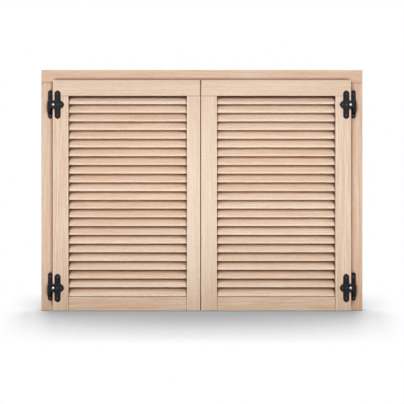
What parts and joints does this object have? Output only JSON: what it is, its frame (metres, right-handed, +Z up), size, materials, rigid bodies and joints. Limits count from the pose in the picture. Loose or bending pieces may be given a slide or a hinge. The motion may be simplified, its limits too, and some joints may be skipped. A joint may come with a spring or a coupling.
{
  "type": "louvred window shutter pair",
  "caption": "Pair of louvred wooden shutter leaves with fixed sloping slats, hung on black pintle strap hinges in a three-sided timber frame that fixes into a window opening.",
  "frame": {"origin": "on the floor plane, under the middle of the part's box", "axes": "+Z up, the front with the hinges looks towards -Y, +X to the right seen from the front"},
  "size_m": [1.2, 0.085, 0.9],
  "materials": {
    "frame_timber": "raw planed softwood, fine straight grain",
    "leaf_timber": "raw planed softwood, fine straight grain",
    "slat_timber": "raw planed softwood, grain along the slat",
    "hinge_black": "black powder coat on cast metal, satin",
    "pin_steel": "blackened steel",
    "screw_black": "black screws, satin",
    "bright_zinc": "bright plated screw head"
  },
  "bodies": {
    "frame": {"frame_head": "frame_timber", "left_jamb": "frame_timber", "left_upper_pintle_plate": "hinge_black", "left_upper_hinge_pin": "pin_steel", "left_lower_pintle_plate": "hinge_black", "left_lower_hinge_pin": "pin_steel", "left_plate_screws": "screw_black", "right_jamb": "frame_timber", "right_upper_pintle_plate": "hinge_black", "right_upper_hinge_pin": "pin_steel", "right_lower_pintle_plate": "hinge_black", "right_lower_hinge_pin": "pin_steel", "right_plate_screws": "screw_black"},
    "left_leaf": {"left_hinge_stile": "leaf_timber", "left_meeting_stile": "leaf_timber", "left_top_rail": "leaf_timber", "left_bottom_rail": "leaf_timber", "left_slats": "slat_timber", "left_upper_strap": "hinge_black", "left_lower_strap": "hinge_black", "left_lock_screws": "bright_zinc", "left_strap_screws": "screw_black"},
    "right_leaf": {"right_hinge_stile": "leaf_timber", "right_meeting_stile": "leaf_timber", "right_top_rail": "leaf_timber", "right_bottom_rail": "leaf_timber", "right_slats": "slat_timber", "right_upper_strap": "hinge_black", "right_lower_strap": "hinge_black", "right_lock_screws": "bright_zinc", "right_strap_screws": "screw_black"}
  },
  "joints": [
    {"name": "left_leaf_hinge", "type": "hinge", "parent": "frame", "child": "left_leaf", "pos_m": [-0.567, -0.0355, 0.45], "axis": [0, 0, -1], "range_deg": [0, 180]},
    {"name": "right_leaf_hinge", "type": "hinge", "parent": "frame", "child": "right_leaf", "pos_m": [0.567, -0.0355, 0.45], "axis": [0, 0, 1], "range_deg": [0, 180]}
  ]
}
